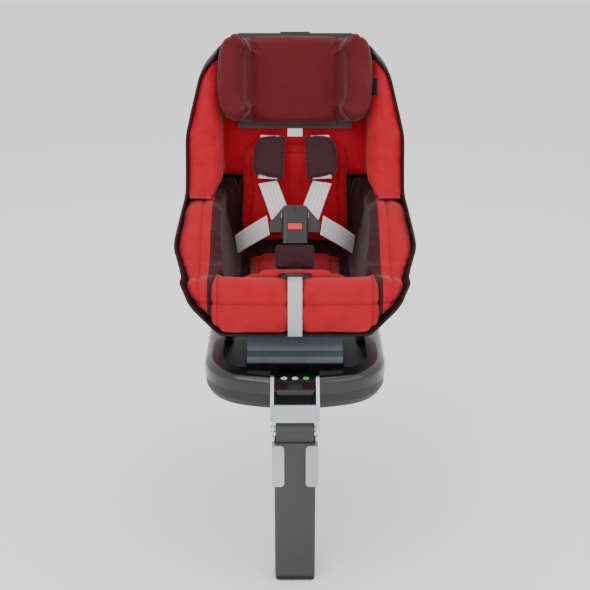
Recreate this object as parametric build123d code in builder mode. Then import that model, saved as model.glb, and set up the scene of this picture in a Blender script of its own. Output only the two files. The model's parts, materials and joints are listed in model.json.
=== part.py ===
"""Convertible child car seat on an anchored base with a folding support leg. Millimetres, +Z up.

The origin is the centre of the base's flat underside. The child faces -Y, and the anchor arms point along +Y.
"""
import math
import os

from build123d import *

# ---- driving dimensions ----
BASE_WIDTH = 340
BASE_FRONT, BASE_BACK = -285, 215
SKIRT_HEIGHT = 30
RIM_HEIGHT = 62
TRAY_FLOOR = 22
WALL = 4
GAP = 0.5

RECLINE_Y, RECLINE_Z = 20, 560          # centre of the recline arc
RAIL_RADIUS = 474                       # top of the curved rails
BACK_TILT = math.atan(0.281)            # the backrest leans back from vertical
BACK_Y, BACK_Z = 95, 190                # a point on the backrest's front plane

SEAT_HALF = 225                         # half width over the hips
SHELL_WALL = 7
CAVITY_HALF = 154                       # half width between the wings
HEADREST_HALF = 147
PAD_HALF = 112
PAD_THICK = 24

WEBBING = 38
BUCKLE_FOOT = (0, -128, 192)            # where the crotch strap leaves the cushion
BUCKLE_LEAN = math.radians(30)

LEG_Y, LEG_Z = -302, -24                # support-leg hinge
LEG_BOTTOM = -331
SLEEVE_WIDTH, SLEEVE_DEPTH = 75, 36
TUBE_WIDTH, TUBE_DEPTH = 68.4, 28.4

ANCHOR_SPACING = 280                    # centre to centre of the two anchor bars
ANCHOR_RADIUS = 3.1
ARM_Z = 18
NOTCH_WIDTH = 17
SUNK = 0.2
SCREW_HEAD = 5
SCREW_PLACES = [(-60, -150, SUNK), (60, -150, SUNK), (-60, 130, SUNK), (60, 130, SUNK)]
BATTERY_Y = -70
ANCHOR_Y = 305

os.makedirs("parts", exist_ok=True)

back_up = (0, math.sin(BACK_TILT), math.cos(BACK_TILT))
back_out = (0, -math.cos(BACK_TILT), math.sin(BACK_TILT))


def save(builder, name):
    """Labels a finished sub-part and writes it as its own STEP file."""
    builder.part.label = name
    export_step(builder.part, f"parts/{name}.step")


def sides():
    """The two sides, seen from the front: -1 on the left, +1 on the right."""
    return (("left", -1), ("right", 1))


def back_y(z):
    """Y of the backrest's front plane at height z."""
    return BACK_Y + (z - BACK_Z) * math.tan(BACK_TILT)


def across_back(z, forward=0):
    """A plane square to the backrest at height z: local -y points forwards out of the backrest."""
    origin = Vector(0, back_y(z), z) + Vector(*back_out) * forward
    return Plane(origin=origin, x_dir=(1, 0, 0), z_dir=back_up)


def webbing(start, end, width, thick, across=(1, 0, 0)):
    """A straight run of flat webbing between two points, its width near the direction across."""
    a, b = Vector(*start), Vector(*end)
    along = (b - a).normalized()
    flat = Vector(*across) - along * along.dot(Vector(*across))
    with BuildPart() as run:
        with BuildSketch(Plane(origin=a, x_dir=flat, z_dir=along)):
            Rectangle(width, thick)
        extrude(amount=(b - a).length)
    return run


# ---- base ----
def base_outline(inset=0):
    """Plan of the base as a sketch: a long rounded tub with a bowed front."""
    half = BASE_WIDTH / 2
    with BuildSketch() as plan:
        with BuildLine():
            FilletPolyline(
                (half, BASE_BACK), (half, BASE_FRONT + 48), (0, BASE_FRONT - 9),
                (-half, BASE_FRONT + 48), (-half, BASE_BACK),
                radius=(50, 105, 300, 105, 50), close=True,
            )
        make_face()
        if inset:
            offset(amount=-inset)
    return plan.sketch


def outline_at(height, inset=0):
    """The base's plan, placed at a height."""
    return base_outline(inset).moved(Location((0, 0, height)))


with BuildPart() as lower_housing:
    add(outline_at(0, 2))
    extrude(amount=SKIRT_HEIGHT)
    chamfer(lower_housing.faces().sort_by(Axis.Z)[0].edges(), 12, 7)
    add(outline_at(WALL, 16))
    extrude(amount=SKIRT_HEIGHT, mode=Mode.SUBTRACT)
    for _, side in sides():
        with Locations((side * ANCHOR_SPACING / 2, BASE_BACK - 20, ARM_Z)):
            Box(29, 90, 21, mode=Mode.SUBTRACT)
    for _, side in sides():
        with Locations((side * ANCHOR_SPACING / 2, BASE_BACK - 25, 36)):
            Box(NOTCH_WIDTH, 110, 24, mode=Mode.SUBTRACT)
    with Locations(*[(x, y, 0) for x, y, _ in SCREW_PLACES]):
        Cylinder(SCREW_HEAD + 0.2, 2.3, mode=Mode.SUBTRACT, align=(Align.CENTER, Align.CENTER, Align.MIN))
    with BuildSketch(Plane.XY):
        with Locations((0, BATTERY_Y)):
            RectangleRounded(70.6, 45.6, 6.3)
    extrude(amount=2.3, mode=Mode.SUBTRACT)
save(lower_housing, "base_lower_housing")

with BuildPart() as upper_rim:
    add(outline_at(SKIRT_HEIGHT))
    extrude(amount=RIM_HEIGHT - SKIRT_HEIGHT)
    fillet(upper_rim.faces().sort_by(Axis.Z)[-1].edges(), 14)
    add(outline_at(SKIRT_HEIGHT - 1, 34))
    extrude(amount=RIM_HEIGHT, mode=Mode.SUBTRACT)
    with Locations((0, BASE_FRONT + 10, SKIRT_HEIGHT + 20)):
        Box(89.2, 70, 60, mode=Mode.SUBTRACT)
    for _, side in sides():
        with Locations((side * ANCHOR_SPACING / 2, BASE_BACK - 25, 36)):
            Box(NOTCH_WIDTH, 110, 24, mode=Mode.SUBTRACT)
save(upper_rim, "base_upper_rim")

with BuildPart() as tray:
    add(outline_at(TRAY_FLOOR, 34.4))
    extrude(amount=4)
    with Locations((0, BASE_FRONT + 25, TRAY_FLOOR)):
        Box(90, 70, 30, mode=Mode.SUBTRACT)
    for _, side in sides():
        with Locations((side * 100, -10, TRAY_FLOOR + 4 + 8)):
            Box(16, 330, 16)
        with Locations((side * ANCHOR_SPACING / 2, 80, ARM_Z)):
            Box(34, 340, 40, mode=Mode.SUBTRACT)
save(tray, "base_tray")

with BuildPart() as tray_stands:
    for y in (-150, -75, 130):
        with GridLocations(120, 1, 2, 1):
            with Locations((0, y, WALL)):
                Cylinder(9, TRAY_FLOOR - WALL, align=(Align.CENTER, Align.CENTER, Align.MIN))
save(tray_stands, "base_tray_stands")

with BuildPart() as housing_screws:
    with Locations(*SCREW_PLACES):
        Cylinder(SCREW_HEAD, 2, align=(Align.CENTER, Align.CENTER, Align.MIN))
        Box(6, 1.2, 1.2, align=(Align.CENTER, Align.CENTER, Align.MIN), mode=Mode.SUBTRACT)
save(housing_screws, "base_housing_screws")

with BuildPart() as battery_cover:
    with BuildSketch(Plane.XY.offset(SUNK)):
        with Locations((0, BATTERY_Y)):
            RectangleRounded(70, 45, 6)
    extrude(amount=1.8)
save(battery_cover, "battery_cover")

with BuildPart() as panel:
    with BuildSketch(Plane.XY.offset(SKIRT_HEIGHT)):
        with Locations((0, BASE_FRONT + 24)):
            RectangleRounded(73, 62, 6)
    extrude(amount=24)
    with Locations((0, BASE_FRONT - 7, SKIRT_HEIGHT + 24)):
        Box(80, 40, 14, rotation=(20, 0, 0), mode=Mode.SUBTRACT)
    with Locations((-20, BASE_FRONT + 30, 54), (0, BASE_FRONT + 30, 54), (20, BASE_FRONT + 30, 54)):
        CounterBoreHole(3, 6, 1.2, 6)
    with Locations((0, BASE_FRONT + 24, SKIRT_HEIGHT)):
        Box(60, 50, 12, align=(Align.CENTER, Align.CENTER, Align.MIN), mode=Mode.SUBTRACT)
save(panel, "indicator_panel")

with BuildPart() as white_lenses:
    with Locations((-20, BASE_FRONT + 30, 53), (0, BASE_FRONT + 30, 53)):
        Cylinder(5.8, 1.6, align=(Align.CENTER, Align.CENTER, Align.MIN))
save(white_lenses, "indicator_lenses_white")

with BuildPart() as green_lens:
    with Locations((20, BASE_FRONT + 30, 53)):
        Cylinder(5.8, 1.6, align=(Align.CENTER, Align.CENTER, Align.MIN))
save(green_lens, "indicator_lens_green")

with BuildPart() as circuit_board:
    with Locations((0, BASE_FRONT + 26, SKIRT_HEIGHT + 2)):
        Box(56, 40, 1.6)
    with Locations((-20, BASE_FRONT + 30, 36), (0, BASE_FRONT + 30, 36), (20, BASE_FRONT + 30, 36)):
        Cylinder(2.4, 5)
save(circuit_board, "indicator_circuit_board")

# ---- support-leg bracket on the base ----
with BuildPart() as leg_bracket:
    for _, side in sides():
        with BuildSketch(Plane.YZ.offset(side * 39.5)):
            with Locations((LEG_Y + 8, -1.5)):
                Rectangle(38, 41)
            with Locations((LEG_Y, LEG_Z)):
                Circle(15)
            with Locations((LEG_Y, LEG_Z)):
                Circle(6.05, mode=Mode.SUBTRACT)
        extrude(amount=1.5, both=True)
    with Locations((0, LEG_Y + 12, 15)):
        Box(79, 12, 6)
save(leg_bracket, "leg_bracket")

with BuildPart() as leg_cover:
    with BuildSketch(Plane.XZ.offset(-(LEG_Y - 11.5))):
        with Locations((0, 12)):
            RectangleRounded(84, 34, 7)
    extrude(amount=4)
    for _, side in sides():
        with BuildSketch(Plane.YZ.offset(side * 41)):
            with BuildLine():
                Polyline(
                    (LEG_Y - 14, -4), (LEG_Y - 14, 26), (LEG_Y + 38, 60), (LEG_Y + 46, 60),
                    (LEG_Y + 46, 55), (LEG_Y + 10, 20), (LEG_Y + 6, -4), close=True,
                )
            make_face()
        extrude(amount=side * 3.2)
        with BuildSketch(Plane.YZ.offset(side * 38)):
            with BuildLine():
                Polyline(
                    (LEG_Y - 14, 20), (LEG_Y - 14, 26), (LEG_Y + 38, 60), (LEG_Y + 44, 60),
                    (LEG_Y + 40, 55.5), (LEG_Y - 8, 20), close=True,
                )
            make_face()
        extrude(amount=side * 4.5)
save(leg_cover, "leg_bracket_cover")

with BuildPart() as leg_pin:
    with BuildSketch(Plane.YZ.offset(-43)):
        with Locations((LEG_Y, LEG_Z)):
            Circle(6)
    extrude(amount=86)
save(leg_pin, "leg_hinge_pin")

with BuildPart() as release_lever:
    with BuildSketch(Plane.YZ.offset(-30)):
        with BuildLine():
            Polyline(
                (BASE_FRONT - 12, 40), (BASE_FRONT - 12, 45), (BASE_FRONT - 9.5, 49),
                (BASE_FRONT - 7.5, 49), (BASE_FRONT - 7.5, 36), close=True,
            )
        make_face()
    extrude(amount=60)
save(release_lever, "seat_release_lever")

# ---- support leg ----
with BuildPart() as leg_tube:
    with BuildSketch(Plane.YZ.offset(-35)):
        with Locations((LEG_Y, LEG_Z)):
            Circle(14)
    extrude(amount=70)
    with BuildSketch(Plane.XY.offset(LEG_Z)):
        with Locations((0, LEG_Y)):
            RectangleRounded(TUBE_WIDTH, TUBE_DEPTH, 5)
    extrude(amount=-250)
    with BuildSketch(Plane.YZ.offset(-36)):
        with Locations((LEG_Y, LEG_Z)):
            Circle(6.05)
    extrude(amount=72, mode=Mode.SUBTRACT)
    with BuildSketch(Plane.XY.offset(LEG_Z - 20)):
        with Locations((0, LEG_Y)):
            RectangleRounded(TUBE_WIDTH - 5, TUBE_DEPTH - 5, 3)
    extrude(amount=-240, mode=Mode.SUBTRACT)
save(leg_tube, "leg_inner_tube")

with BuildPart() as leg_sleeve:
    with BuildSketch(Plane.XY.offset(-45)):
        with Locations((0, LEG_Y)):
            RectangleRounded(SLEEVE_WIDTH, SLEEVE_DEPTH, 8)
    extrude(amount=LEG_BOTTOM + 10 + 45)
    with BuildSketch(Plane.XY.offset(-40)):
        with Locations((0, LEG_Y)):
            RectangleRounded(TUBE_WIDTH + 2 * GAP, TUBE_DEPTH + 2 * GAP, 5)
    extrude(amount=-272, mode=Mode.SUBTRACT)
    for _, side in sides():
        with Locations((side * 37, LEG_Y - 2, -90)):
            Box(6, 28, 78, mode=Mode.SUBTRACT)
save(leg_sleeve, "leg_sleeve")

with BuildPart() as leg_foot:
    with BuildSketch(Plane.XY.offset(LEG_BOTTOM + 10)):
        with Locations((0, LEG_Y)):
            RectangleRounded(SLEEVE_WIDTH - 2, SLEEVE_DEPTH - 2, 7)
    extrude(amount=-10)
    fillet(leg_foot.faces().sort_by(Axis.Z)[0].edges(), 3)
save(leg_foot, "leg_foot")

for name, side in sides():
    with BuildPart() as leg_button:
        with BuildSketch(Plane.XZ.offset(-(LEG_Y - SLEEVE_DEPTH / 2 - 0.3))):
            with Locations((side * 30.5, -90)):
                RectangleRounded(22, 82, 7)
        extrude(amount=2.4)
        with Locations((side * 39.75, LEG_Y - 5, -90)):
            Box(3.5, 29.5, 72)
    save(leg_button, f"leg_button_{name}")

# ---- anchor arms ----
with BuildPart() as anchor_frame:
    for _, side in sides():
        with Locations((side * ANCHOR_SPACING / 2, (ANCHOR_Y + 40) / 2 - 20, ARM_Z)):
            Box(20, ANCHOR_Y - 70, 14)
    with Locations((0, 55, 14)):
        Box(ANCHOR_SPACING + 20, 14, 8)
save(anchor_frame, "anchor_arm_frame")


def jaw_profile(y_tip):
    """The connector jaw seen from the side: a block with a U notch open to +Y."""
    with BuildSketch(Plane.YZ) as jaw:
        with Locations((y_tip - 34, ARM_Z)):
            RectangleRounded(88, 20, 6)
        with Locations((ANCHOR_Y, ARM_Z)):
            Circle(ANCHOR_RADIUS, mode=Mode.SUBTRACT)
        with Locations((ANCHOR_Y + 10, ARM_Z)):
            Rectangle(20, 2 * ANCHOR_RADIUS, mode=Mode.SUBTRACT)
    return jaw


with BuildPart() as hook_pins:
    for _, side in sides():
        with BuildSketch(Plane.YZ.offset(side * ANCHOR_SPACING / 2 - 3)):
            with Locations((ANCHOR_Y - 24, ARM_Z + 1)):
                Circle(2.5)
        extrude(amount=6)
save(hook_pins, "anchor_hook_pins")

for name, side in sides():
    x = side * ANCHOR_SPACING / 2
    with BuildPart() as connector:
        add(jaw_profile(ANCHOR_Y + 10).sketch.moved(Location((x - 14, 0, 0))))
        extrude(amount=28, dir=(1, 0, 0))
        with Locations((x, ANCHOR_Y - 53, ARM_Z)):
            Box(20.2, 64, 14.2, mode=Mode.SUBTRACT)
        with Locations((x, ANCHOR_Y - 10, ARM_Z + 5)):
            Box(6, 50, 20, mode=Mode.SUBTRACT)
        with Locations((x, ANCHOR_Y - 55, ARM_Z + 10)):
            Box(18, 34, 8, mode=Mode.SUBTRACT)
    save(connector, f"anchor_connector_{name}")

    with BuildPart() as hook:
        with BuildSketch(Plane.YZ.offset(x - 2.5)):
            with BuildLine():
                Polyline(
                    (ANCHOR_Y - 30, ARM_Z - 4), (ANCHOR_Y - 30, ARM_Z + 8), (ANCHOR_Y + 11, ARM_Z + 8),
                    (ANCHOR_Y + 11, ARM_Z + 1), (ANCHOR_Y + 4, ARM_Z - 0.5), (ANCHOR_Y + 3.6, ARM_Z + 3.6),
                    (ANCHOR_Y - 10, ARM_Z + 3.6), (ANCHOR_Y - 14, ARM_Z - 4), close=True,
                )
            make_face()
            with Locations((ANCHOR_Y - 24, ARM_Z + 1)):
                Circle(2.55, mode=Mode.SUBTRACT)
        extrude(amount=5)
    save(hook, f"anchor_hook_{name}")

    with BuildPart() as arm_button:
        with Locations((x, ANCHOR_Y - 58, ARM_Z + 10.6)):
            Box(14, 20, 6)
        fillet(arm_button.faces().sort_by(Axis.Z)[-1].edges(), 1.5)
    save(arm_button, f"anchor_release_{name}")

# ---- seat foot, which clips into the base ----
with BuildPart() as seat_foot:
    with BuildSketch(Plane.YZ.offset(-88)):
        with BuildLine():
            Polyline((-150, 150), (-150, TRAY_FLOOR + 5), (150, TRAY_FLOOR + 5), (150, 150), close=True)
        make_face()
        with Locations((RECLINE_Y, RECLINE_Z)):
            Circle(RAIL_RADIUS, mode=Mode.SUBTRACT)
    extrude(amount=176)
    with Locations((0, 0, TRAY_FLOOR + 2)):
        Box(150, 280, 45, align=(Align.CENTER, Align.CENTER, Align.MIN), mode=Mode.SUBTRACT)
save(seat_foot, "seat_foot")

with BuildPart() as latches:
    for _, side in sides():
        with Locations((side * 40, -157, TRAY_FLOOR + 4)):
            Box(24, 12, 22, align=(Align.CENTER, Align.CENTER, Align.MIN))
save(latches, "seat_latches")

# ---- seat shell, foam and covers ----
def front_profile(inset=0):
    """Outline of the bucket from the front, inset from the outside."""
    corners = [(108, 94), (188, 184), (228, 262), (213, 330), (215, 430), (188, 545), (142, 597)]
    radii = [60, 60, 22, 60, 90, 60, 28]
    right = corners
    left = [(-x, z) for x, z in reversed(corners)]
    with BuildSketch(Plane.XZ) as face:
        with BuildLine():
            FilletPolyline(*right, *left, radius=(*radii, *reversed(radii)), close=True)
        make_face()
        if inset:
            offset(amount=-inset)
    return face.sketch


def hollow_profile():
    """Outline of the space the child sits in, from the front, open at the top."""
    right = [(100, 148), (128, 185), (148, 262), (152, 330), (CAVITY_HALF, 430), (CAVITY_HALF, 700)]
    left = [(-x, z) for x, z in reversed(right)]
    with BuildSketch(Plane.XZ) as face:
        with BuildLine():
            Polyline((0, 140), *right, *left, close=True)
        make_face()
    return face.sketch


def bucket(front_face, points):
    """A bucket-shaped solid: a front outline met with a closed side outline."""
    with BuildSketch(Plane.YZ) as side_face:
        with BuildLine():
            Polyline(*points, close=True)
        make_face()
    return extrude(front_face, amount=420, both=True) & extrude(side_face.sketch, amount=300, both=True)


outside = [
    (-236, 126), (-244, 150), (-244, 200), (-226, 230), (-184, 230), (-150, 250), (-110, 285),
    (-45, 318), (0, 330), (28, 378), (55, 440), (92, 520), (140, 592), (160, 600), (216, 600),
    (226, 560), (196, 330), (176, 190), (150, 134), (90, 108), (20, 98), (-50, 104), (-130, 118),
    (-190, 124),
]
lining = [
    (-420, 134), (-420, 700), (232, 700), (218, 560), (188, 330), (168, 192), (143, 142), (88, 116),
    (20, 106), (-50, 112), (-130, 126), (-190, 132), (-236, 134),
]
sitting = [
    (-420, 262), (-184, 262), (-176, 205), (-140, 176), (-60, 158), (30, 152), (78, 160),
    (BACK_Y, BACK_Z), (back_y(700), 700), (-420, 700),
]
outer = bucket(front_profile(), outside)
lined = bucket(front_profile(SHELL_WALL), lining)
seat_space = bucket(hollow_profile(), sitting)

with BuildPart() as seat_shell:
    add(outer)
    add(lined, mode=Mode.SUBTRACT)
    add(seat_space, mode=Mode.SUBTRACT)
save(seat_shell, "seat_shell")

with BuildPart() as runners:
    for _, side in sides():
        with BuildSketch(Plane.YZ.offset(side * 70 - 9)):
            with Locations((RECLINE_Y, RECLINE_Z)):
                Circle(RAIL_RADIUS - GAP)
                Circle(RAIL_RADIUS - 22, mode=Mode.SUBTRACT)
            with Locations((-5, 80)):
                Rectangle(250, 160, mode=Mode.INTERSECT)
        extrude(amount=18)
    add(outer, mode=Mode.SUBTRACT)
save(runners, "recline_runners")

padding = (outer & lined) - seat_space

SPLIT_Z = 324
PAD_POCKET = 116
front_block = Pos(0, -178 - 100, SPLIT_Z - 200) * Box(304, 200, 400)
side_block = Pos(PAD_POCKET + 150, 0, SPLIT_Z - 200) * Box(300, 900, 400)
middle_block = Pos(0, -178 + 300, SPLIT_Z - 200) * Box(2 * PAD_POCKET, 600, 400)

with BuildPart() as wing_cover:
    add(padding)
    with Locations((0, 0, SPLIT_Z + 200)):
        Box(900, 900, 400, mode=Mode.INTERSECT)
save(wing_cover, "wing_cover")

with BuildPart() as front_cover:
    add(padding)
    add(front_block, mode=Mode.INTERSECT)
    with Locations((0, -195, 222)):
        Box(34, 8, 20, mode=Mode.SUBTRACT)
save(front_cover, "front_cover")

with BuildPart() as seat_foam:
    add(padding)
    add(middle_block, mode=Mode.INTERSECT)
save(seat_foam, "seat_foam")

for name, side in sides():
    with BuildPart() as hip_cover:
        add(padding)
        add(side_block if side > 0 else side_block.mirror(Plane.YZ), mode=Mode.INTERSECT)
        add(front_block, mode=Mode.SUBTRACT)
    save(hip_cover, f"hip_cover_{name}")

with BuildPart() as cushion_pad:
    with BuildSketch(Plane.YZ):
        with BuildLine():
            Polyline(
                (-170, 208), (-138, 177), (-60, 159), (30, 153), (76, 160.5), (78, 184), (30, 178),
                (-58, 183), (-128, 200), (-158, 228), close=True,
            )
        make_face()
    extrude(amount=98, both=True)
save(cushion_pad, "cushion_pad")

with BuildPart() as back_pad:
    with BuildSketch(Plane(origin=(0, back_y(300), 300), x_dir=(1, 0, 0), z_dir=back_out)):
        RectangleRounded(2 * PAD_HALF, 210, 40)
    extrude(amount=PAD_THICK)
save(back_pad, "back_pad")

with BuildPart() as recline_handle:
    with BuildSketch(Plane.YZ.offset(-88)):
        with BuildLine():
            Polyline(
                (-222, 70), (-222, 82), (-206, 88), (-186, 117), (-176, 117), (-176, 112), (-184, 108),
                (-200, 74), (-206, 68), (-218, 67), close=True,
            )
        make_face()
    extrude(amount=176)
    fillet(recline_handle.edges().filter_by(Axis.Z, reverse=True).sort_by(Axis.Y)[:1], 2)
save(recline_handle, "recline_handle")

# ---- headrest ----
HEADREST_LOW = 424
HEADREST_LONG = 190


def headrest_block(width, near, far, start=0.0, length=HEADREST_LONG):
    """A block of the headrest, between two distances in front of the backrest."""
    with BuildSketch(across_back(HEADREST_LOW)) as face:
        with Locations((0, -(near + far) / 2)):
            Rectangle(width, far - near)
    return extrude(face.sketch, amount=length, mode=Mode.PRIVATE).moved(Location(Vector(*back_up) * start))


with BuildPart() as headrest_rail:
    add(headrest_block(30, 0.2, 10, -16, 176))
    for notch in range(4):
        add(headrest_block(30, 8, 10.5, 10 + notch * 22, 4), mode=Mode.SUBTRACT)
save(headrest_rail, "headrest_rail")

with BuildPart() as headrest_shell:
    add(headrest_block(230, 1, 16))
    add(headrest_block(31, 0.5, 10.6, -1, HEADREST_LONG + 2), mode=Mode.SUBTRACT)
    add(headrest_block(62, 8, 15, HEADREST_LONG - 30, 31), mode=Mode.SUBTRACT)
save(headrest_shell, "headrest_shell")

with BuildPart() as headrest_lever:
    add(headrest_block(60, 10.9, 14.5, HEADREST_LONG - 26, 29))
save(headrest_lever, "headrest_lever")

with BuildPart() as headrest_pad:
    with BuildSketch(across_back(HEADREST_LOW)):
        with BuildLine():
            half = HEADREST_HALF
            Polyline(
                (half, -16.3), (half, -108), (half - 12, -118), (half - 34, -108), (half - 46, -62),
                (half - 60, -52), (60 - half, -52), (46 - half, -62), (34 - half, -108),
                (12 - half, -118), (-half, -108), (-half, -16.3), close=True,
            )
        make_face()
    extrude(amount=HEADREST_LONG - 2)
save(headrest_pad, "headrest_pad")

# ---- harness ----
PAD_END = 345


TONGUE = [(0.8, 136.5), (0.8, 150), (20, 150), (48, 116), (46, 98), (26, 98), (26, 136.5)]


def lean(along, forward=0.0, x=0.0):
    """A point on the buckle's centre line, measured up from the cushion and forwards."""
    up = Vector(0, math.sin(BUCKLE_LEAN), math.cos(BUCKLE_LEAN))
    out = Vector(0, -math.cos(BUCKLE_LEAN), math.sin(BUCKLE_LEAN))
    return Vector(*BUCKLE_FOOT) + up * along + out * forward + Vector(x, 0, 0)


def buckle_plane(along, forward=0.0):
    """A plane square to the buckle: local -y points forwards."""
    z_dir = (0, math.sin(BUCKLE_LEAN), math.cos(BUCKLE_LEAN))
    return Plane(origin=lean(along, forward), x_dir=(1, 0, 0), z_dir=z_dir)


for name, side in sides():
    pad_top = (side * 50, 116, 420)
    pad_low = (side * 54, 62, PAD_END)
    strap_top = (side * 54, 60, PAD_END - 7)
    with BuildPart() as shoulder_pad:
        add(webbing(pad_top, pad_low, 64, 15).part)
        add(webbing((side * 49.5, 119, 424), (side * 54.5, 59, PAD_END - 4), 40, 3.2).part, mode=Mode.SUBTRACT)
    save(shoulder_pad, f"shoulder_pad_{name}")
    save(webbing(pad_top, pad_low, WEBBING, 1.6), f"shoulder_strap_upper_{name}")
    save(webbing(strap_top, (side * 27, -36, 292), WEBBING, 1.6), f"shoulder_strap_{name}")
    save(
        webbing(
            tuple(lean(112, 0, side * 51)), (side * 116, 18, 222), WEBBING, 1.6,
            across=(0, 0.3, 1),
        ),
        f"lap_strap_{name}",
    )
    with BuildPart() as tongue:
        with BuildSketch(Plane(origin=lean(0, 3), x_dir=(1, 0, 0), z_dir=lean(0, 1) - lean(0))):
            Polygon(*[(side * x, t) for x, t in TONGUE], align=None)
        extrude(amount=-6)
    save(tongue, f"buckle_tongue_{name}")

with BuildPart() as buckle:
    with BuildSketch(buckle_plane(75)):
        RectangleRounded(50, 24, 8)
    extrude(amount=60)
    with BuildSketch(buckle_plane(100)):
        with Locations((0, -10)):
            Rectangle(29, 18)
    extrude(amount=14, mode=Mode.SUBTRACT)
save(buckle, "buckle_housing")

with BuildPart() as buckle_button:
    with BuildSketch(buckle_plane(101)):
        with Locations((0, -9.5)):
            RectangleRounded(27.6, 7, 1.5)
    extrude(amount=12)
save(buckle_button, "buckle_button")

with BuildPart() as crotch_strap:
    with BuildSketch(buckle_plane(14)):
        RectangleRounded(WEBBING - 4, 5, 2)
    extrude(amount=60.5)
save(crotch_strap, "crotch_strap")

with BuildPart() as crotch_pad:
    with BuildSketch(buckle_plane(28)):
        RectangleRounded(74, 20, 8)
        Rectangle(WEBBING - 2, 7, mode=Mode.SUBTRACT)
    extrude(amount=44)
save(crotch_pad, "crotch_pad")

with BuildPart() as bezel:
    with BuildSketch(Plane.XY.offset(230)):
        with Locations((0, -195)):
            RectangleRounded(62, 17, 8)
            Rectangle(34, 8, mode=Mode.SUBTRACT)
    extrude(amount=3)
save(bezel, "adjuster_bezel")

with BuildPart() as adjuster:
    with Locations((0, -195, 228)):
        Box(33, 7.2, 9)
save(adjuster, "adjuster_button")

with BuildPart() as adjuster_strap:
    with BuildSketch(Plane.YZ):
        with BuildLine():
            Polyline(
                (-205, 230.2), (-226.6, 230.2), (-244.6, 200.5), (-244.6, 149.8), (-238, 130),
                (-239.6, 129.5), (-246.2, 149.5), (-246.2, 201), (-227.6, 231.8), (-205, 231.8), close=True,
            )
        make_face()
    extrude(amount=13, both=True)
save(adjuster_strap, "adjuster_strap")
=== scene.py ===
import json
import math

import bmesh
import bpy
import numpy as np
from bpy.props import FloatProperty, FloatVectorProperty, PointerProperty
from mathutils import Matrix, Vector, noise
from mathutils.bvhtree import BVHTree


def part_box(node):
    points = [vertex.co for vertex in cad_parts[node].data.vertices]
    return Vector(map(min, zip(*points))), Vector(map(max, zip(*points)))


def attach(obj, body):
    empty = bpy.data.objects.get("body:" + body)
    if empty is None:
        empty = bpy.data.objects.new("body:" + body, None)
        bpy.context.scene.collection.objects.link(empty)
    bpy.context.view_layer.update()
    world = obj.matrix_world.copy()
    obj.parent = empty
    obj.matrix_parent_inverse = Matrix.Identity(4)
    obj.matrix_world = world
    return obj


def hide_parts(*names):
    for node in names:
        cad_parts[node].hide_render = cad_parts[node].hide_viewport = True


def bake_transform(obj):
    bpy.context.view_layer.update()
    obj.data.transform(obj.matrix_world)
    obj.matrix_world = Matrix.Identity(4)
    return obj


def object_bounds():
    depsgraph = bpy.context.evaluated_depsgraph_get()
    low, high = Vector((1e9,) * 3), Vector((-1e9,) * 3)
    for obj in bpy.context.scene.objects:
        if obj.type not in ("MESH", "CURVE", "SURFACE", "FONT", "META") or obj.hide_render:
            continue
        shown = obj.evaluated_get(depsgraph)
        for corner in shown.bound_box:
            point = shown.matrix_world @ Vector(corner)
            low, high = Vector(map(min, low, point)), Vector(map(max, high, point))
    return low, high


bl_info = {
    "name": "Child Car Seat",
    "version": (1, 0, 0),
    "blender": (4, 5, 0),
    "location": "View3D > Sidebar > Car Seat",
    "description": "Upholstery, harness webbing, plastics and stage of a reclining child car seat",
    "category": "Object",
}

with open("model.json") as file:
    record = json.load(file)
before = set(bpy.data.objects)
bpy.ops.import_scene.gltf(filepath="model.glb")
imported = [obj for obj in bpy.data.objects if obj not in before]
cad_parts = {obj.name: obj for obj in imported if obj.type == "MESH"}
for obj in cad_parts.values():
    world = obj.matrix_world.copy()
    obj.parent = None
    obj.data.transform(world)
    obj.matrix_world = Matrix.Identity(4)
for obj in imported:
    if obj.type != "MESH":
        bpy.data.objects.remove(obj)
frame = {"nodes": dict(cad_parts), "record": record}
CAD_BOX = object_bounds()

BACK_TILT = math.atan(0.281)
BACK_FORWARD = Vector((0, -math.cos(BACK_TILT), math.sin(BACK_TILT)))
SIDES = (("left", -1), ("right", 1))
EYE = (0.0, -2.263, 0.946)
LOOK_DOWN = math.radians(20)
LENS = 73.65
FRONT_SEAM_HEIGHT = 0.192
FRONT_SEAM_SIDE = 0.140
HIP_CREST = 0.176
HIP_BORDER = 0.158
CUSHION_SEAM_SIDE = 0.070
HEADREST_SEAM_SIDE = 0.084
WING_BORDER = 0.012
BACK_BORDER = 0.006
HEADREST_BORDER = 0.014


class UpholsterySettings(bpy.types.PropertyGroup):
    seat_red: FloatVectorProperty(
        name="Seat red", description="Knitted cover of the seat", subtype="COLOR",
        default=(0.34, 0.001, 0.009), min=0, max=1)
    headrest_red: FloatVectorProperty(
        name="Headrest burgundy", description="Knitted cover of the headrest", subtype="COLOR",
        default=(0.085, 0.002, 0.005), min=0, max=1)
    pad_plum: FloatVectorProperty(
        name="Harness pad plum", description="Harness and crotch pads", subtype="COLOR",
        default=(0.026, 0.005, 0.009), min=0, max=1)
    # Dark cloth colour for the hips' inner sides and the lining, dark enough to stand in for the shade inside
    # the seat: partly real dark cloth, partly painted shade. The stitch threads take the same colour.
    dark_tone_and_painted_shade: FloatVectorProperty(
        name="Inner side", description="Inner sides of the hips", subtype="COLOR",
        default=(0.030, 0.002, 0.004), min=0, max=1)
    webbing_grey: FloatVectorProperty(
        name="Webbing", description="Harness webbing", subtype="COLOR",
        default=(0.50, 0.48, 0.50), min=0, max=1)
    fine_voxel: FloatProperty(
        name="Fine voxel", description="Mesh size of the small pads", default=0.004,
        min=0.002, max=0.01, unit="LENGTH")
    broad_voxel: FloatProperty(
        name="Broad voxel", description="Mesh size of the large pads", default=0.0055,
        min=0.003, max=0.01, unit="LENGTH")
    pressure: FloatProperty(
        name="Filling pressure", description="Pressure that fills each pad", default=4.0, min=0, max=20)
    swell: FloatProperty(
        name="Swell", description="Furthest that the filling pushes a cover", default=0.009,
        min=0, max=0.03, unit="LENGTH")


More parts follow.
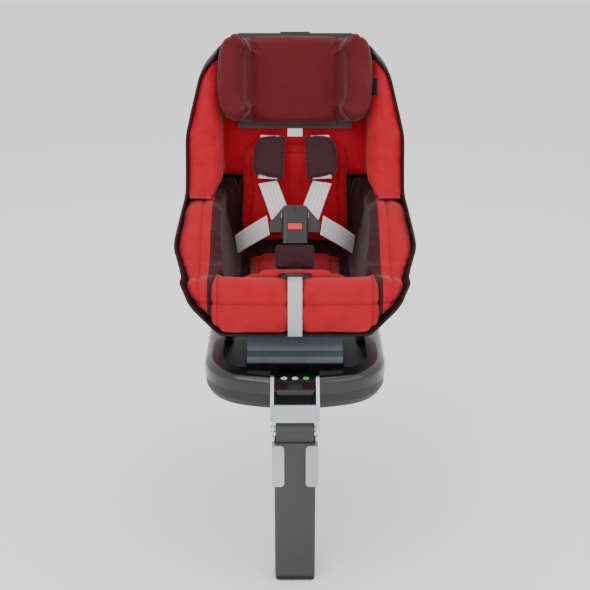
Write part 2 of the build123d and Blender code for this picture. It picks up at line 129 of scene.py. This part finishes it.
class StitchSettings(bpy.types.PropertyGroup):
    length: FloatProperty(
        name="Stitch length", description="Length of one stitch", default=0.0046,
        min=0.001, max=0.02, unit="LENGTH")
    spacing: FloatProperty(
        name="Stitch spacing", description="Distance from one stitch to the next", default=0.0064,
        min=0.001, max=0.03, unit="LENGTH")
    thickness: FloatProperty(
        name="Thread thickness", description="Thickness of the sewing thread", default=0.0011,
        min=0.0002, max=0.005, unit="LENGTH")
    groove_depth: FloatProperty(
        name="Groove depth", description="How deep a seam pulls the cover in", default=0.0034,
        min=0, max=0.01, unit="LENGTH")
    groove_width: FloatProperty(
        name="Groove width", description="Half-width of a seam's groove", default=0.0048,
        min=0.001, max=0.02, unit="LENGTH")


# Materials

def socket(shader, name, value):
    shader.inputs[name].default_value = value


def new_material(name, roughness, **constants):
    """A material with its principled shader and node tree ready."""
    material = bpy.data.materials.new(name)
    material.use_nodes = True
    shader = material.node_tree.nodes["Principled BSDF"]
    socket(shader, "Roughness", roughness)
    for key, value in constants.items():
        socket(shader, key.replace("_", " "), value)
    return material, material.node_tree, shader


def object_coordinates(tree):
    return tree.nodes.new("ShaderNodeTexCoord").outputs["Object"]


def noise_field(tree, vector, scale, detail=3.0):
    node = tree.nodes.new("ShaderNodeTexNoise")
    node.inputs["Scale"].default_value = scale
    node.inputs["Detail"].default_value = detail
    tree.links.new(vector, node.inputs["Vector"])
    return node.outputs["Fac"]


def tinted(tree, shader, field, colour, low, high):
    """The base colour runs from colour * low to colour * high with a field."""
    ramp = tree.nodes.new("ShaderNodeValToRGB")
    ramp.color_ramp.elements[0].position = 0.3
    ramp.color_ramp.elements[1].position = 0.7
    ramp.color_ramp.elements[0].color = (*(min(1, c * low) for c in colour), 1)
    ramp.color_ramp.elements[1].color = (*(min(1, c * high) for c in colour), 1)
    tree.links.new(field, ramp.inputs["Fac"])
    tree.links.new(ramp.outputs["Color"], shader.inputs["Base Color"])


def bumped(tree, shader, field, strength, distance):
    bump = tree.nodes.new("ShaderNodeBump")
    bump.inputs["Strength"].default_value = strength
    bump.inputs["Distance"].default_value = distance
    tree.links.new(field, bump.inputs["Height"])
    tree.links.new(bump.outputs["Normal"], shader.inputs["Normal"])


def add_fields(tree, first, second, weight):
    node = tree.nodes.new("ShaderNodeMath")
    node.operation = "MULTIPLY_ADD"
    node.inputs[1].default_value = weight
    tree.links.new(second, node.inputs[0])
    tree.links.new(first, node.inputs[2])
    return node.outputs["Value"]


def knitted(name, colour, stitch=620.0, sheen=0.1):
    material, tree, shader = new_material(
        name, 0.82, Sheen_Weight=sheen, Sheen_Roughness=0.45, Specular_IOR_Level=0.25)
    where = object_coordinates(tree)
    loops = tree.nodes.new("ShaderNodeTexVoronoi")
    loops.inputs["Scale"].default_value = stitch
    tree.links.new(where, loops.inputs["Vector"])
    mottle = noise_field(tree, where, 38.0)
    tinted(tree, shader, add_fields(tree, mottle, loops.outputs["Distance"], 0.25), colour, 0.88, 1.07)
    bumped(tree, shader, add_fields(tree, mottle, loops.outputs["Distance"], 0.8), 0.55, 0.0006)
    return material


def woven(name, colour):
    """Webbing: ribs run across the strap along its own UV map."""
    material, tree, shader = new_material(
        name, 0.6, Sheen_Weight=0.2, Sheen_Roughness=0.4, Specular_IOR_Level=0.35)
    where = tree.nodes.new("ShaderNodeTexCoord").outputs["UV"]
    ribs = tree.nodes.new("ShaderNodeTexWave")
    ribs.inputs["Scale"].default_value = 260.0
    ribs.inputs["Distortion"].default_value = 0.6
    ribs.bands_direction = "Y"
    tree.links.new(where, ribs.inputs["Vector"])
    lanes = tree.nodes.new("ShaderNodeTexWave")
    lanes.inputs["Scale"].default_value = 42.0
    tree.links.new(where, lanes.inputs["Vector"])
    field = add_fields(tree, lanes.outputs["Fac"], ribs.outputs["Fac"], 0.7)
    tinted(tree, shader, field, colour, 0.8, 1.12)
    bumped(tree, shader, field, 0.5, 0.0005)
    return material


def moulded(name, colour, roughness, grain=900.0, depth=0.25, **constants):
    material, tree, shader = new_material(name, roughness, **constants)
    where = object_coordinates(tree)
    pits = noise_field(tree, where, grain, 2.0)
    wear = noise_field(tree, where, 9.0)
    tinted(tree, shader, wear, colour, 0.85, 1.18)
    bumped(tree, shader, pits, depth, 0.0002)
    return material


def painted(name, colour):
    """Plain flat paint."""
    material, _, shader = new_material(name, 0.9)
    socket(shader, "Base Color", (*colour, 1))
    return material


def plated(name, colour, roughness):
    material, tree, shader = new_material(name, roughness, Metallic=1.0)
    where = object_coordinates(tree)
    brushed = noise_field(tree, where, 420.0, 4.0)
    tinted(tree, shader, brushed, colour, 0.85, 1.1)
    bumped(tree, shader, brushed, 0.15, 0.0002)
    return material


# Meshes

def show(mesh, name, *materials):
    piece = bpy.data.objects.new(name, mesh)
    bpy.context.scene.collection.objects.link(piece)
    for material in materials:
        piece.data.materials.append(material)
    return piece


def settled(piece):
    """The piece with its modifiers worked into its mesh and taken off."""
    view = bpy.context.evaluated_depsgraph_get()
    view.update()
    mesh = bpy.data.meshes.new_from_object(piece.evaluated_get(view))
    kept = [m for m in piece.data.materials]
    piece.modifiers.clear()
    piece.data = mesh
    piece.data.materials.clear()
    for material in kept:
        piece.data.materials.append(material)
    return piece


def smooth(piece):
    piece.data.shade_smooth()
    return piece


def merged_copy(node, name, *materials):
    """A welded copy of a CAD node's mesh, as a piece of its own."""
    mesh = frame["nodes"][node].data.copy()
    mesh.materials.clear()
    work = bmesh.new()
    work.from_mesh(mesh)
    bmesh.ops.remove_doubles(work, verts=work.verts, dist=1e-5)
    bmesh.ops.recalc_face_normals(work, faces=work.faces)
    work.to_mesh(mesh)
    work.free()
    return show(mesh, name, *materials)


def evened(piece, voxel, rounding):
    """The piece with an even mesh, and its edges rounded by that many rounds of smoothing."""
    remesh = piece.modifiers.new("Even", "REMESH")
    remesh.mode = "VOXEL"
    remesh.voxel_size = voxel
    relax = piece.modifiers.new("Round", "SMOOTH")
    relax.factor = 0.5
    relax.iterations = rounding
    return settled(piece)


def fill(piece, pressure, cap):
    """Air pressure rounds the cover out, no point further than cap."""
    scene = bpy.context.scene
    flat = [v.co.copy() for v in piece.data.vertices]
    cloth = piece.modifiers.new("Filling", "CLOTH")
    cloth.settings.use_pressure = True
    cloth.settings.uniform_pressure_force = pressure
    cloth.settings.effector_weights.gravity = 0
    cloth.point_cache.frame_start = 1
    cloth.point_cache.frame_end = 20
    for step in range(1, 21):
        scene.frame_set(step)
    view = bpy.context.evaluated_depsgraph_get()
    full = [v.co.copy() for v in piece.evaluated_get(view).data.vertices]
    piece.modifiers.remove(cloth)
    for vertex, before, after in zip(piece.data.vertices, flat, full):
        push = after - before
        if push.length > cap:
            push *= cap / push.length
        vertex.co = before + push
    scene.frame_set(1)


def crease(piece, depth, scale):
    """Slight unevenness of a cover over its filling."""
    outwards = [v.normal.copy() for v in piece.data.vertices]
    for vertex, outward in zip(piece.data.vertices, outwards):
        vertex.co += outward * depth * noise.noise(vertex.co * scale)


def rounded_corners(piece, power=4.5):
    """Draws the corners of an upright pad in along a superellipse, in the plane of the backrest."""
    up = Vector((0, math.sin(BACK_TILT), math.cos(BACK_TILT)))
    heights = [v.co.dot(up) for v in piece.data.vertices]
    middle, half = (max(heights) + min(heights)) / 2, (max(heights) - min(heights)) / 2
    reach = max(abs(v.co.x) for v in piece.data.vertices)
    for vertex, height in zip(piece.data.vertices, heights):
        side, level = abs(vertex.co.x) / reach, abs(height - middle) / half
        ring = (side ** power + level ** power) ** (1 / power)
        if ring > 0:
            inwards = 1 - max(side, level) / ring
            vertex.co -= up * ((height - middle) * inwards)
            vertex.co.x *= 1 - inwards


def padded_cover(context, node, name, body, material, voxel, rounding=8, swell=1.0,
                 shape=None):
    """A padded piece in the place of a CAD soft solid: remeshed, rounded, filled and subdivided."""
    looks = context.scene.upholstery
    piece = evened(merged_copy(node, name, material), voxel, rounding)
    if shape:
        shape(piece)
    fill(piece, looks.pressure, looks.swell * swell)
    finer = piece.modifiers.new("Finer", "SUBSURF")
    finer.levels = 1
    finer.render_levels = 1
    settled(piece)
    crease(piece, 0.0009, 26.0)
    smooth(piece)
    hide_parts(node)
    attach(piece, body)
    return piece


# Seams

def seam_line(piece, point, normal, keep):
    """Edges where a plane cuts the cover, as vertices and pairs, a little proud of it."""
    work = bmesh.new()
    work.from_mesh(piece.data)
    cut = bmesh.ops.bisect_plane(
        work, geom=work.verts[:] + work.edges[:] + work.faces[:], plane_co=point, plane_no=normal)
    edges = [g for g in cut["geom_cut"] if isinstance(g, bmesh.types.BMEdge)]
    edges = [e for e in edges if all(keep(v.co) for v in e.verts)]
    work.normal_update()
    numbers, places, pairs = {}, [], []
    for edge in edges:
        for vertex in edge.verts:
            if vertex not in numbers:
                numbers[vertex] = len(places)
                places.append(vertex.co + vertex.normal * 0.0003)
        pairs.append(tuple(numbers[v] for v in edge.verts))
    work.free()
    return places, pairs


def pull_in(piece, point, normal, keep, depth, width):
    normal = Vector(normal).normalized()
    point = Vector(point)
    outwards = [v.normal.copy() for v in piece.data.vertices]
    for vertex, outward in zip(piece.data.vertices, outwards):
        away = (vertex.co - point).dot(normal)
        if abs(away) < 3 * width and keep(vertex.co):
            vertex.co -= outward * depth * math.exp(-(away / width) ** 2)


def stitch_tree():
    """Thread stitches along a line: capsules turned along it at an even spacing."""
    tree = bpy.data.node_groups.new("Stitches along a seam", "GeometryNodeTree")
    face = tree.interface
    face.new_socket(name="Geometry", in_out="INPUT", socket_type="NodeSocketGeometry")
    for name in ("Length", "Spacing", "Thickness"):
        face.new_socket(name=name, in_out="INPUT", socket_type="NodeSocketFloat")
    face.new_socket(name="Material", in_out="INPUT", socket_type="NodeSocketMaterial")
    face.new_socket(name="Geometry", in_out="OUTPUT", socket_type="NodeSocketGeometry")
    nodes, links = tree.nodes, tree.links
    given = nodes.new("NodeGroupInput")
    line = nodes.new("GeometryNodeMeshToCurve")
    points = nodes.new("GeometryNodeCurveToPoints")
    points.mode = "LENGTH"
    thread = nodes.new("GeometryNodeMeshUVSphere")
    thread.inputs["Segments"].default_value = 6
    thread.inputs["Rings"].default_value = 4
    thread.inputs["Radius"].default_value = 0.5
    shape = nodes.new("GeometryNodeTransform")
    scale = nodes.new("ShaderNodeCombineXYZ")
    place = nodes.new("GeometryNodeInstanceOnPoints")
    solid = nodes.new("GeometryNodeRealizeInstances")
    paint = nodes.new("GeometryNodeSetMaterial")
    out = nodes.new("NodeGroupOutput")
    links.new(given.outputs["Geometry"], line.inputs["Mesh"])
    links.new(line.outputs["Curve"], points.inputs["Curve"])
    links.new(given.outputs["Spacing"], points.inputs["Length"])
    links.new(given.outputs["Thickness"], scale.inputs["X"])
    links.new(given.outputs["Thickness"], scale.inputs["Y"])
    links.new(given.outputs["Length"], scale.inputs["Z"])
    links.new(thread.outputs["Mesh"], shape.inputs["Geometry"])
    links.new(scale.outputs["Vector"], shape.inputs["Scale"])
    links.new(points.outputs["Points"], place.inputs["Points"])
    links.new(points.outputs["Rotation"], place.inputs["Rotation"])
    links.new(shape.outputs["Geometry"], place.inputs["Instance"])
    links.new(place.outputs["Instances"], solid.inputs["Geometry"])
    links.new(solid.outputs["Geometry"], paint.inputs["Geometry"])
    links.new(given.outputs["Material"], paint.inputs["Material"])
    links.new(paint.outputs["Geometry"], out.inputs["Geometry"])
    return tree


def sewn(context, piece, name, body, colour, cuts):
    """Grooves and rows of stitches where each cut, a (point, normal, keep), meets the cover."""
    settings = context.scene.stitching
    places, pairs = [], []
    for point, normal, keep in cuts:
        pull_in(piece, point, normal, keep, settings.groove_depth, settings.groove_width)
    for point, normal, keep in cuts:
        more, joined = seam_line(piece, point, normal, keep)
        pairs += [(a + len(places), b + len(places)) for a, b in joined]
        places += more
    if not pairs:
        raise RuntimeError(f"no seam line on {name}")
    mesh = bpy.data.meshes.new(name)
    mesh.from_pydata(places, pairs, [])
    thread_material = moulded(f"{name}_thread", colour, 0.6, depth=0.1)
    thread = show(mesh, name, thread_material)
    tree = bpy.data.node_groups.get("Stitches along a seam") or stitch_tree()
    rows = thread.modifiers.new("Stitches", "NODES")
    rows.node_group = tree
    values = {"Length": settings.length, "Spacing": settings.spacing,
              "Thickness": settings.thickness, "Material": thread_material}
    for item in tree.interface.items_tree:
        if item.in_out == "INPUT" and item.name in values:
            rows[item.identifier] = values[item.name]
    settled(thread)
    smooth(thread)
    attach(thread, body)
    return thread


def border_point(piece, behind):
    """A point that far behind the cover's foremost one, square to the backrest."""
    return BACK_FORWARD * (max(v.co.dot(BACK_FORWARD) for v in piece.data.vertices) - behind)


def everywhere(place):
    return True


# Upholstery

class CARSEAT_OT_wings(bpy.types.Operator):
    """Make the padded cover of the backrest's wings"""
    bl_idname = "carseat.wings"
    bl_label = "Wing cover"

    def execute(self, context):
        looks = context.scene.upholstery
        red = knitted("wing_knit", looks.seat_red)
        piece = padded_cover(context, "wing_cover", "wing_padding", "seat", red, looks.broad_voxel, 18)
        border = border_point(piece, WING_BORDER)
        sewn(context, piece, "wing_stitches", "seat", looks.dark_tone_and_painted_shade, [(border, BACK_FORWARD, everywhere)])
        blank_tag(piece)
        return {"FINISHED"}


def blank_tag(cover):
    """A small blank woven tag that lies on the right wing."""
    corners = [v.co for v in cover.data.vertices]
    tree = BVHTree.FromPolygons(corners, [p.vertices for p in cover.data.polygons])
    columns, rows, width, height = 12, 9, 0.022, 0.032
    tag_height = 0.52
    middle = CAD_BOX[1][0]
    while tree.ray_cast(Vector((middle, -1, tag_height + height)), Vector((0, 1, 0)))[0] is None:
        middle -= 0.002
    middle -= width
    places, faces = [], []
    for row in range(rows):
        for column in range(columns):
            x = middle + width * (column / (columns - 1) - 0.5)
            z = tag_height + height * (row / (rows - 1) - 0.5)
            hit = tree.ray_cast(Vector((x, -1, z)), Vector((0, 1, 0)))[0]
            if hit is None:
                raise RuntimeError("the tag misses the wing")
            places.append(hit + Vector((0, -0.0008, 0)))
    for row in range(rows - 1):
        for column in range(columns - 1):
            corner = row * columns + column
            faces.append((corner, corner + 1, corner + columns + 1, corner + columns))
    mesh = bpy.data.meshes.new("wing_tag")
    mesh.from_pydata(places, [], faces)
    tag = show(mesh, "wing_tag", knitted("tag_weave", (0.012, 0.012, 0.013), 900.0))
    thick = tag.modifiers.new("Thickness", "SOLIDIFY")
    thick.thickness = 0.0008
    settled(tag)
    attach(smooth(tag), "seat")


def two_toned(piece, border):
    """Past a clean edge at x = border, the side nearer the middle of the seat is the second cloth, a dark
    cloth that is partly painted shade for the shaded inner side.
    """
    work = bmesh.new()
    work.from_mesh(piece.data)
    bmesh.ops.bisect_plane(
        work, geom=work.verts[:] + work.edges[:] + work.faces[:], plane_co=(border, 0, 0), plane_no=(1, 0, 0))
    for face in work.faces:
        if abs(face.calc_center_median().x) < abs(border):
            face.material_index = 1
    work.to_mesh(piece.data)
    work.free()


class CARSEAT_OT_hips(bpy.types.Operator):
    """Make the padded covers of the seat's hips"""
    bl_idname = "carseat.hips"
    bl_label = "Hip covers"

    def execute(self, context):
        looks = context.scene.upholstery
        red = knitted("hip_knit", looks.seat_red)
        # Dark cloth for the hips' inner sides: partly real dark cloth, partly painted shade for the shade
        # between hip and cushion.
        dark = knitted("hip_inner_knit_painted_shade", looks.dark_tone_and_painted_shade)
        for name, side in SIDES:
            piece = padded_cover(
                context, f"hip_cover_{name}", f"hip_padding_{name}", "seat", red, looks.broad_voxel, 18)
            piece.data.materials.append(dark)
            two_toned(piece, side * HIP_BORDER)
            cuts = [
                ((side * HIP_CREST, 0, 0), (1, 0, 0), lambda p: p.z > 0.2),
                ((0, 0, FRONT_SEAM_HEIGHT), (0, 0, 1), lambda p: abs(p.x) > 0.15),
            ]
            sewn(context, piece, f"hip_stitches_{name}", "seat", looks.dark_tone_and_painted_shade, cuts)
        return {"FINISHED"}


class CARSEAT_OT_shell(bpy.types.Operator):
    """Make the rounded seat shell and the dark lining inside it, the lining's dark colour partly painted
    shade
    """
    bl_idname = "carseat.shell"
    bl_label = "Shell and lining"

    def execute(self, context):
        looks = context.scene.upholstery
        shell = merged_copy("seat_shell", "shell_moulding", moulded(
            "shell_grain", (0.020, 0.002, 0.004), 0.62, Specular_IOR_Level=0.2))
        evened(shell, looks.fine_voxel, 20)
        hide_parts("seat_shell")
        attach(smooth(shell), "seat")
        # Dark lining cloth inside the shell: partly real dark cloth, partly painted shade for the shade in
        # the seat's cavity.
        dark = knitted("lining_knit_painted_shade", looks.dark_tone_and_painted_shade)
        padded_cover(context, "seat_foam", "inner_lining", "seat", dark, looks.broad_voxel, 6, swell=0.2)
        return {"FINISHED"}


class CARSEAT_OT_front(bpy.types.Operator):
    """Make the padded cover of the seat's front edge"""
    bl_idname = "carseat.front"
    bl_label = "Front cover"

    def execute(self, context):
        looks = context.scene.upholstery
        red = knitted("front_knit", looks.seat_red)
        piece = padded_cover(context, "front_cover", "front_padding", "seat", red, looks.broad_voxel, 18)
        low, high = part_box("adjuster_strap")
        pull_in(piece, (0, 0, 0), (1, 0, 0), lambda p: p.y < high[1] + 0.01, 0.012, high[0])
        cuts = [
            ((0, 0, FRONT_SEAM_HEIGHT), (0, 0, 1), lambda p: p.y < -0.2),
            ((-FRONT_SEAM_SIDE, 0, 0), (1, 0, 0), lambda p: p.y < -0.19),
            ((FRONT_SEAM_SIDE, 0, 0), (1, 0, 0), lambda p: p.y < -0.19),
        ]
        sewn(context, piece, "front_stitches", "seat", looks.dark_tone_and_painted_shade, cuts)
        return {"FINISHED"}


class CARSEAT_OT_insert(bpy.types.Operator):
    """Make the cushion and the back pad that the child sits on"""
    bl_idname = "carseat.insert"
    bl_label = "Seat insert"

    def execute(self, context):
        looks = context.scene.upholstery
        red = knitted("insert_knit", looks.seat_red, 520.0)
        cushion = padded_cover(context, "cushion_pad", "cushion", "seat", red, looks.broad_voxel, 8)
        top = max(v.co.z for v in cushion.data.vertices)
        cuts = [
            ((side * CUSHION_SEAM_SIDE, 0, 0), (1, 0, 0), lambda p: p.z > top - 0.05)
            for _, side in SIDES
        ]
        sewn(context, cushion, "cushion_stitches", "seat", looks.dark_tone_and_painted_shade, cuts)
        back = padded_cover(context, "back_pad", "back_cushion", "seat", red, looks.broad_voxel, 8)
        cuts = [(border_point(back, BACK_BORDER), BACK_FORWARD, everywhere)]
        sewn(context, back, "back_stitches", "seat", looks.dark_tone_and_painted_shade, cuts)
        return {"FINISHED"}


class CARSEAT_OT_headrest(bpy.types.Operator):
    """Make the headrest's padded cover"""
    bl_idname = "carseat.headrest"
    bl_label = "Headrest"

    def execute(self, context):
        looks = context.scene.upholstery
        cover = knitted("headrest_knit", looks.headrest_red)
        piece = padded_cover(
            context, "headrest_pad", "headrest_cushion", "headrest", cover, 0.005, 18, swell=0.9,
            shape=rounded_corners)
        cuts = [((side * HEADREST_SEAM_SIDE, 0, 0), (1, 0, 0), lambda p: p.y < 0.165) for _, side in SIDES]
        cuts.append((border_point(piece, HEADREST_BORDER), BACK_FORWARD, everywhere))
        sewn(context, piece, "headrest_stitches", "headrest", looks.dark_tone_and_painted_shade, cuts)
        return {"FINISHED"}


class CARSEAT_OT_harness_pads(bpy.types.Operator):
    """Make the shoulder pads and the crotch pad"""
    bl_idname = "carseat.harness_pads"
    bl_label = "Harness pads"

    def execute(self, context):
        looks = context.scene.upholstery
        plum = knitted("pad_knit", looks.pad_plum)
        for name, _ in SIDES:
            padded_cover(context, f"shoulder_pad_{name}", f"shoulder_cushion_{name}", "headrest", plum,
                         looks.fine_voxel * 0.75, 5, swell=0.25, shape=rounded_corners)
        padded_cover(context, "crotch_pad", "crotch_cushion", "seat", plum, looks.fine_voxel * 0.75, 5,
                     swell=0.35)
        return {"FINISHED"}


# Harness webbing

def strap_axes(node):
    """Centre, half-sizes and directions of a straight strap, longest first."""
    points = np.array([tuple(v.co) for v in frame["nodes"][node].data.vertices])
    low, high = points.min(axis=0), points.max(axis=0)
    centre = (low + high) / 2
    _, vectors = np.linalg.eigh(np.cov((np.unique(points.round(6), axis=0) - centre).T))
    along, across, through = (Vector(vectors[:, i]) for i in (2, 1, 0))
    reach = [max(abs((Vector(p) - Vector(centre)).dot(a)) for p in points) for a in (along, across, through)]
    return Vector(centre), (along, across, through), reach


def ribbon(name, node, material, bow=0.0):
    """Flat webbing with rounded edges in the place of a straight strap, bowed slightly."""
    centre, (along, across, through), (length, width, thick) = strap_axes(node)
    if through.y > 0:
        through = -through
    rows, columns = 40, 9
    mesh = bpy.data.meshes.new(name)
    work = bmesh.new()
    layer = work.loops.layers.uv.new("Strap")
    grid = []
    for row in range(rows + 1):
        t = 2 * row / rows - 1
        lift = bow * (1 - t * t)
        grid.append([work.verts.new(
            centre + along * (length * t) + across * (width * (2 * c / (columns - 1) - 1))
            + through * lift) for c in range(columns)])
    for row in range(rows):
        for column in range(columns - 1):
            face = work.faces.new((grid[row][column], grid[row][column + 1],
                                   grid[row + 1][column + 1], grid[row + 1][column]))
            for loop, (r, c) in zip(face.loops, ((row, column), (row, column + 1),
                                                 (row + 1, column + 1), (row + 1, column))):
                loop[layer].uv = (c / (columns - 1) * 2 * width, r / rows * 2 * length)
    work.to_mesh(mesh)
    work.free()
    piece = show(mesh, name, material)
    body = piece.modifiers.new("Thickness", "SOLIDIFY")
    body.thickness = 0.0018
    body.offset = 0
    edge = piece.modifiers.new("Edges", "BEVEL")
    edge.width = 0.0006
    edge.segments = 2
    settled(piece)
    return smooth(piece)


class CARSEAT_OT_webbing(bpy.types.Operator):
    """Make the harness straps"""
    bl_idname = "carseat.webbing"
    bl_label = "Harness webbing"

    def execute(self, context):
        weave = woven("harness_webbing", context.scene.upholstery.webbing_grey)
        for name, _ in SIDES:
            node = f"shoulder_strap_{name}"
            strap = ribbon(f"shoulder_webbing_{name}", node, weave, bow=0.003)
            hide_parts(node)
            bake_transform(strap)
            for kind, body, bow in (("lap_strap", "seat", 0.002), ("shoulder_strap_upper", "headrest", 0.0)):
                node = f"{kind}_{name}"
                strap = ribbon(f"{kind.replace('strap', 'webbing')}_{name}", node, weave, bow)
                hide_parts(node)
                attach(strap, body)
        strap = merged_copy("adjuster_strap", "adjuster_webbing", weave)
        edge = strap.modifiers.new("Edges", "BEVEL")
        edge.width = 0.0005
        edge.segments = 2
        settled(strap)
        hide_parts("adjuster_strap")
        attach(smooth(strap), "seat")
        return {"FINISHED"}


# Hard parts

class CARSEAT_OT_hard_parts(bpy.types.Operator):
    """Finish the plastic, steel and rubber parts"""
    bl_idname = "carseat.hard_parts"
    bl_label = "Hard parts"

    def execute(self, context):
        finishes = {
            "base_plastic": moulded("base_moulding", (0.010, 0.010, 0.012), 0.5),
            "base_gloss": moulded("rim_moulding", (0.006, 0.006, 0.008), 0.2, 60.0, 0.04, Coat_Weight=0.25),
            "steel": plated("zinc_plate", (0.55, 0.56, 0.58), 0.3),
            "silver_plastic": moulded("silver_moulding", (0.42, 0.44, 0.46), 0.32, Metallic=0.7),
            "leg_plastic": moulded("leg_moulding", (0.026, 0.028, 0.027), 0.45),
            "rubber": moulded("foot_rubber", (0.012, 0.012, 0.012), 0.9, 300.0, 0.5),
            "button_grey": moulded("grey_button", (0.38, 0.38, 0.36), 0.45),
            "lens_white": moulded("white_lens", (0.85, 0.85, 0.85), 0.15, Transmission_Weight=0.3),
            "lens_green": moulded("green_lens", (0.12, 0.60, 0.05), 0.15, Transmission_Weight=0.2),
            "board": moulded("board_lacquer", (0.01, 0.09, 0.03), 0.35),
            "black_plastic": moulded("black_moulding", (0.008, 0.008, 0.009), 0.38),
            "handle_grey": moulded("handle_moulding", (0.070, 0.090, 0.10), 0.28, 200.0, 0.1,
                                   Transmission_Weight=0.15),
            "shell_plastic": moulded("shell_moulding", (0.024, 0.003, 0.005), 0.5),
            "foam": moulded("foam_lining", (0.75, 0.75, 0.75), 0.9, 260.0, 0.8),
            "button_red": moulded("red_button", (0.60, 0.022, 0.012), 0.3),
        }
        spare = moulded("spare_moulding", (0.02, 0.02, 0.02), 0.5)
        for part in frame["record"]["subparts"]:
            node = frame["nodes"][part["node"]]
            finish = finishes.get(part["material_slot"], spare)
            for held in node.material_slots:
                held.material = finish
        return {"FINISHED"}


class CARSEAT_OT_stage(bpy.types.Operator):
    """Set up the floor, the lights and the camera"""
    bl_idname = "carseat.stage"
    bl_label = "Stage"

    def execute(self, context):
        floor_mesh = bpy.data.meshes.new("floor")
        half, level = 9.0, CAD_BOX[0][2] - 0.001
        floor_mesh.from_pydata(
            [(-half, -half, level), (half, -half, level), (half, half, level), (-half, half, level)],
            [], [(0, 1, 2, 3)])
        show(floor_mesh, "floor", painted("floor_paint", (0.93, 0.93, 0.93)))
        lamps = (("key", (-1.6, -2.4, 2.4), 38, 2.2), ("fill", (2.0, -2.0, 1.5), 21, 2.4),
                 ("top", (0, 0.2, 2.8), 24, 2.2), ("low", (0, -2.6, 0.1), 9, 1.6))
        for name, place, power, size in lamps:
            light = bpy.data.lights.new(name, "AREA")
            light.energy = power
            light.size = size
            lamp = bpy.data.objects.new(name, light)
            lamp.location = place
            lamp.rotation_euler = (Vector((0, 0, 0.25)) - Vector(place)).to_track_quat("-Z", "Y").to_euler()
            context.scene.collection.objects.link(lamp)
        world = bpy.data.worlds.new("studio")
        world.use_nodes = True
        sky = world.node_tree.nodes["Background"]
        sky.inputs["Color"].default_value = (1, 1, 1, 1)
        sky.inputs["Strength"].default_value = 1.3
        context.scene.world = world
        view = bpy.data.cameras.new("camera")
        view.lens = LENS
        camera = bpy.data.objects.new("camera", view)
        camera.location = EYE
        camera.rotation_euler = (math.pi / 2 - LOOK_DOWN, 0, 0)
        context.scene.collection.objects.link(camera)
        context.scene.camera = camera
        return {"FINISHED"}


PIECES = (
    CARSEAT_OT_stage, CARSEAT_OT_hard_parts, CARSEAT_OT_wings, CARSEAT_OT_hips,
    CARSEAT_OT_shell, CARSEAT_OT_front, CARSEAT_OT_insert, CARSEAT_OT_headrest,
    CARSEAT_OT_harness_pads, CARSEAT_OT_webbing,
)


class CARSEAT_PT_panel(bpy.types.Panel):
    """Lists the seat's pieces and their settings"""
    bl_idname = "CARSEAT_PT_panel"
    bl_label = "Car Seat"
    bl_space_type = "VIEW_3D"
    bl_region_type = "UI"
    bl_category = "Car Seat"

    def draw(self, context):
        for settings in (context.scene.upholstery, context.scene.stitching):
            box = self.layout.box()
            for name in settings.__annotations__:
                box.prop(settings, name)
        for operator in PIECES:
            self.layout.operator(operator.bl_idname)


CLASSES = (UpholsterySettings, StitchSettings, *PIECES, CARSEAT_PT_panel)


def register():
    for kind in CLASSES:
        bpy.utils.register_class(kind)
    bpy.types.Scene.upholstery = PointerProperty(type=UpholsterySettings)
    bpy.types.Scene.stitching = PointerProperty(type=StitchSettings)


def unregister():
    del bpy.types.Scene.stitching
    del bpy.types.Scene.upholstery
    for kind in reversed(CLASSES):
        bpy.utils.unregister_class(kind)


def main():
    register()
    for operator in PIECES:
        group, name = operator.bl_idname.split(".")
        getattr(getattr(bpy.ops, group), name)()


if __name__ == "__main__":
    main()
